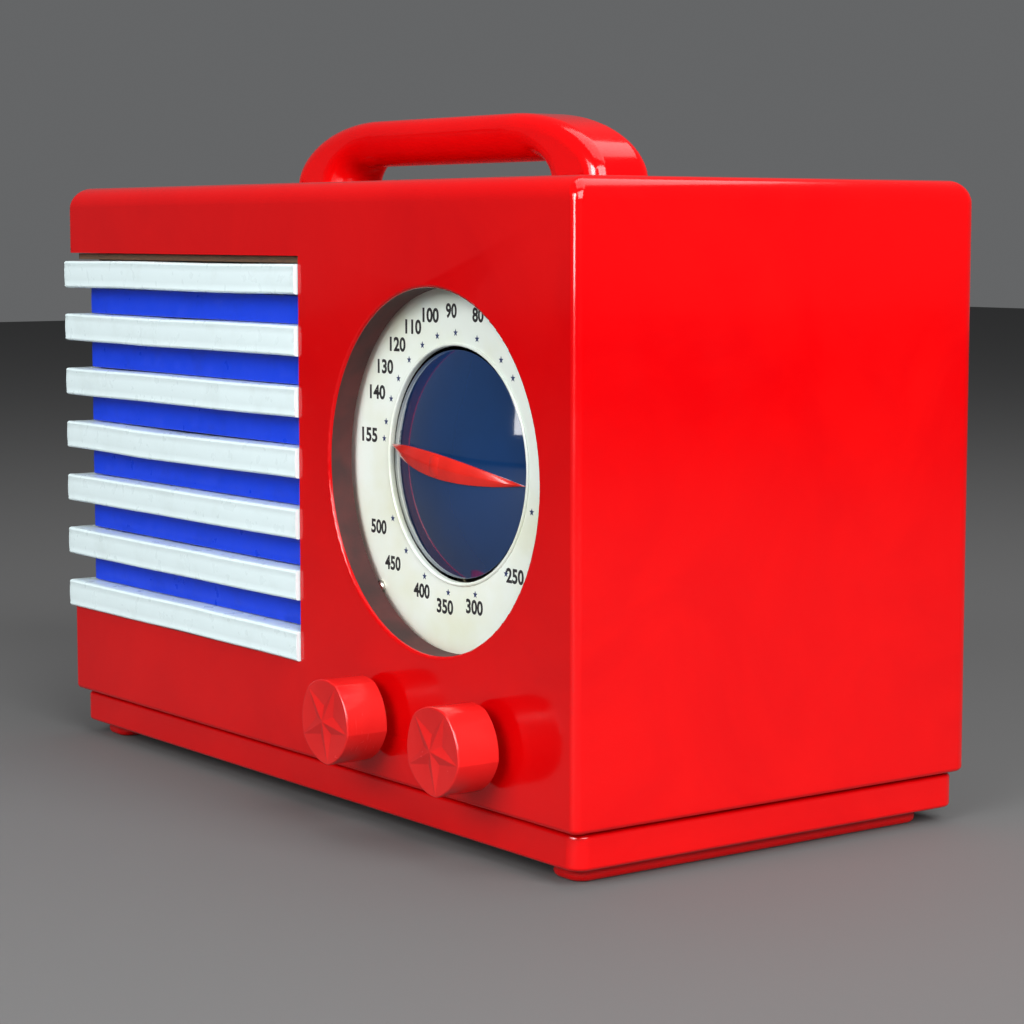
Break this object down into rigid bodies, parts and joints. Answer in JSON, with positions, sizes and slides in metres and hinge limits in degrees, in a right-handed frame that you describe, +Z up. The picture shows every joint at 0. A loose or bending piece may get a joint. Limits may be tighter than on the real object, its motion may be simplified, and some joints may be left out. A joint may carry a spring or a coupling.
{
  "type": "table radio",
  "caption": "Table radio with a cast phenolic cabinet, striped wrap-round grille, round dial with a domed centre and pointer, star knobs and a top handle.",
  "frame": {"origin": "centre of the bottom of the whole object's box, on the surface that it stands on", "axes": "+X to the right seen from the front, along the cabinet's length; +Y to the rear; +Z up"},
  "size_m": [0.284, 0.1638, 0.2068],
  "materials": {
    "red_phenolic": "cast phenolic, buffed to a high gloss",
    "knob_phenolic": "cast phenolic, polished",
    "white_plastic": "moulded, soft gloss",
    "blue_plastic": "moulded, soft gloss",
    "grille_cloth": "woven",
    "fibreboard": "pressed board, matt",
    "speaker_paper": "pressed paper",
    "copper_winding": "enamelled wire",
    "dial_enamel": "enamelled, printed scale",
    "dome_blue": "moulded, high gloss",
    "pointer_red": "enamelled",
    "plated_steel": "cadmium plated",
    "screw_steel": "plated",
    "core_iron": "lacquered",
    "aluminium": "drawn, satin",
    "brass": "turned",
    "dial_cord": "braided",
    "tube_glass": "clear glass on a moulded base",
    "socket_phenolic": "paper phenolic",
    "wax_paper": "waxed paper",
    "resistor_body": "painted",
    "antenna_winding": "cotton-covered wire",
    "grommet_rubber": "moulded rubber"
  },
  "bodies": {
    "root": {"back_cover": "fibreboard", "back_cover_screws": "screw_steel", "cabinet": "red_phenolic", "chassis": "plated_steel", "chassis_screws": "screw_steel", "cone_surround": "speaker_paper", "converter_tube": "tube_glass", "cord_grommet": "grommet_rubber", "detector_tube": "tube_glass", "dial_bracket": "plated_steel", "dial_cord": "dial_cord", "dial_face": "dial_enamel", "dial_screws": "screw_steel", "filter_capacitor": "aluminium", "first_if_can": "aluminium", "gang_frame": "plated_steel", "gang_stators": "aluminium", "grille_bar_1": "white_plastic", "grille_bar_2": "white_plastic", "grille_bar_3": "white_plastic", "grille_bar_4": "white_plastic", "grille_bar_5": "white_plastic", "grille_bar_6": "white_plastic", "grille_bar_7": "white_plastic", "grille_cloth": "grille_cloth", "grille_frame": "white_plastic", "grille_slat_1": "blue_plastic", "grille_slat_2": "blue_plastic", "grille_slat_3": "blue_plastic", "grille_slat_4": "blue_plastic", "grille_slat_5": "blue_plastic", "grille_slat_6": "blue_plastic", "handle": "red_phenolic", "handle_screws": "screw_steel", "if_amplifier_tube": "tube_glass", "loop_antenna": "antenna_winding", "output_transformer": "core_iron", "output_tube": "tube_glass", "paper_capacitors": "wax_paper", "rectifier_tube": "tube_glass", "resistors": "resistor_body", "second_if_can": "aluminium", "speaker_baffle": "fibreboard", "speaker_basket": "plated_steel", "speaker_magnet": "core_iron", "speaker_screws": "screw_steel", "tube_sockets": "socket_phenolic", "tuning_bushing": "brass", "volume_control": "plated_steel"},
    "dial_rotor": {"dial_dome": "dome_blue", "dial_pointer": "pointer_red", "rotor_shaft": "plated_steel", "rotor_plates": "aluminium", "cord_drum": "brass"},
    "tuning_knob": {"tuning_knob": "knob_phenolic", "tuning_shaft": "plated_steel"},
    "volume_knob": {"volume_knob": "knob_phenolic", "volume_shaft": "plated_steel"},
    "speaker_cone": {"speaker_cone": "speaker_paper", "voice_coil": "copper_winding"}
  },
  "joints": [
    {"name": "dial_turn", "type": "hinge", "parent": "root", "child": "dial_rotor", "pos_m": [0.07515, -0.0436, 0.1072], "axis": [0, 1, 0], "range_deg": [-5, 172]},
    {"name": "tuning_turn", "type": "hinge", "parent": "root", "child": "tuning_knob", "pos_m": [0.10215, -0.0636, 0.0335], "axis": [0, 1, 0], "range_deg": [-45, 1385]},
    {"name": "volume_turn", "type": "hinge", "parent": "root", "child": "volume_knob", "pos_m": [0.04815, -0.0636, 0.0335], "axis": [0, 1, 0], "range_deg": [0, 300]},
    {"name": "cone_travel", "type": "slide", "parent": "root", "child": "speaker_cone", "axis": [0, -1, 0], "range_m": [-0.001, 0.001], "stiffness_N_per_m": 1500}
  ],
  "couplings": [
    {"joint": "tuning_turn", "follows": "dial_turn", "ratio": 8}
  ]
}
